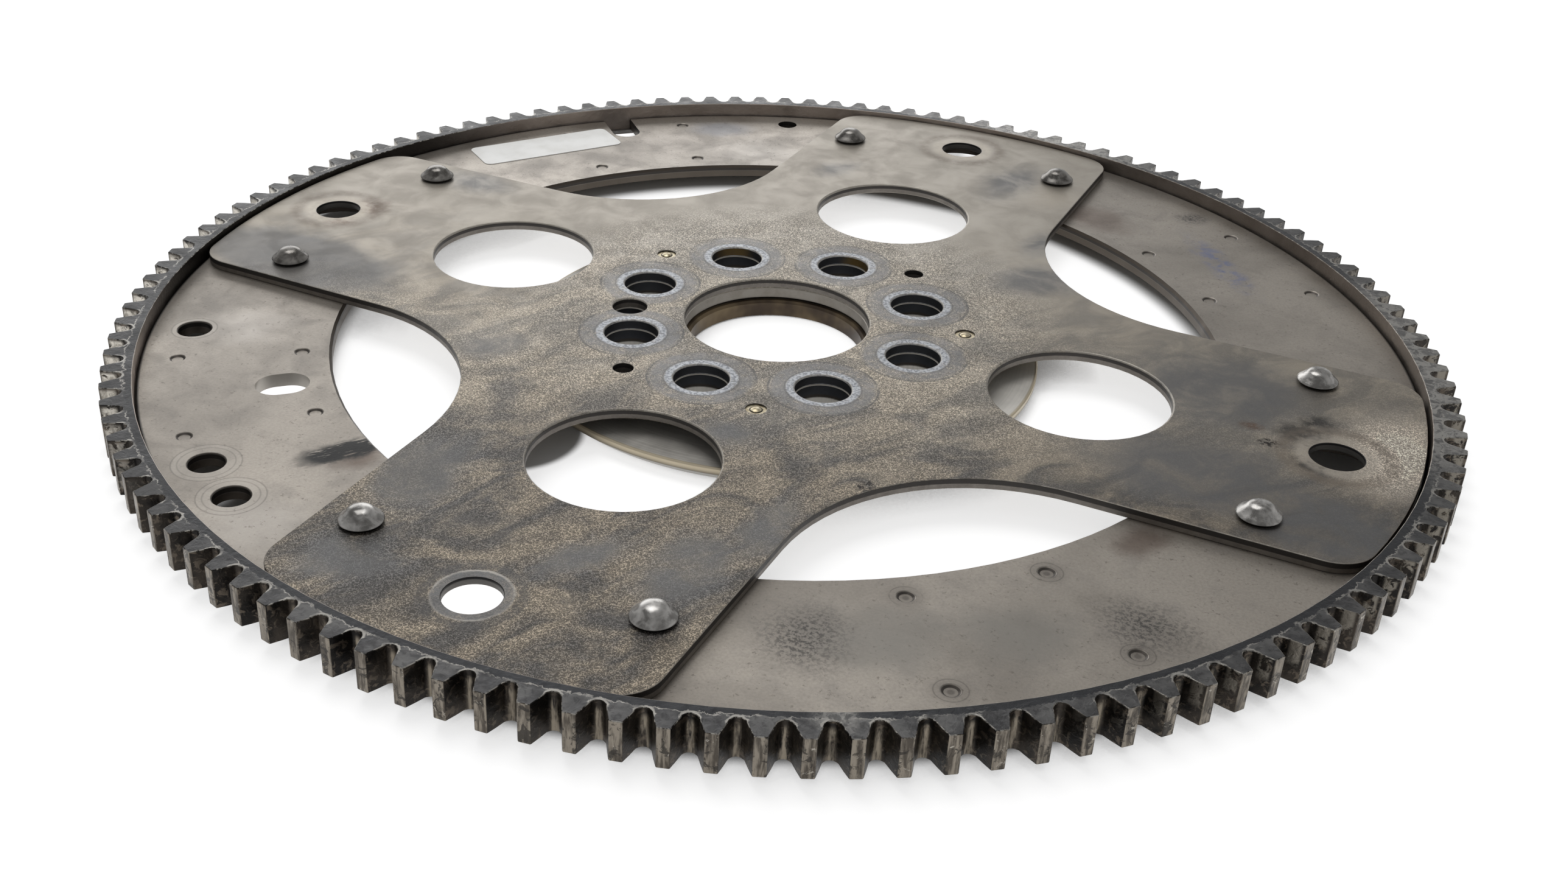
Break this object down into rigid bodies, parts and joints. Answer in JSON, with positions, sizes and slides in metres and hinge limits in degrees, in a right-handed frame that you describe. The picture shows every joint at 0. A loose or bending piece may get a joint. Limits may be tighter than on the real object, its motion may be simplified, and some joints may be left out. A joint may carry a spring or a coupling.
{
  "type": "flexplate",
  "caption": "Round sheet steel drive plate: a cross riveted to a ring plate with a starter ring gear round it, to bolt a torque converter to a crankshaft.",
  "frame": {"origin": "on the crank axis, at the face of the hub disc that seats on the crankshaft", "axes": "+Z along the crank axis towards the torque converter, +X and +Y along two of the arms"},
  "size_m": [0.3142, 0.3142, 0.0132],
  "materials": {
    "ring_steel": "dark oiled steel, teeth worn bright in places",
    "plate_steel": "satin rolled steel with smears and stains",
    "weld_steel": "plain weld bead",
    "cross_steel": "mottled brown grey phosphated steel",
    "spacer_steel": "plain punched steel",
    "disc_steel": "satin steel with a bright edge",
    "rivet_steel": "formed steel heads",
    "rivet_brass": "yellow passivated",
    "label_paper": "blank white paper"
  },
  "bodies": {
    "root": {"ring_gear": "ring_steel", "ring_plate": "plate_steel", "ring_welds": "weld_steel", "cross_plate": "cross_steel", "hub_spacer": "spacer_steel", "hub_disc": "disc_steel", "arm_rivets": "rivet_steel", "hub_rivets": "rivet_brass", "paper_label": "label_paper"}
  },
  "joints": []
}
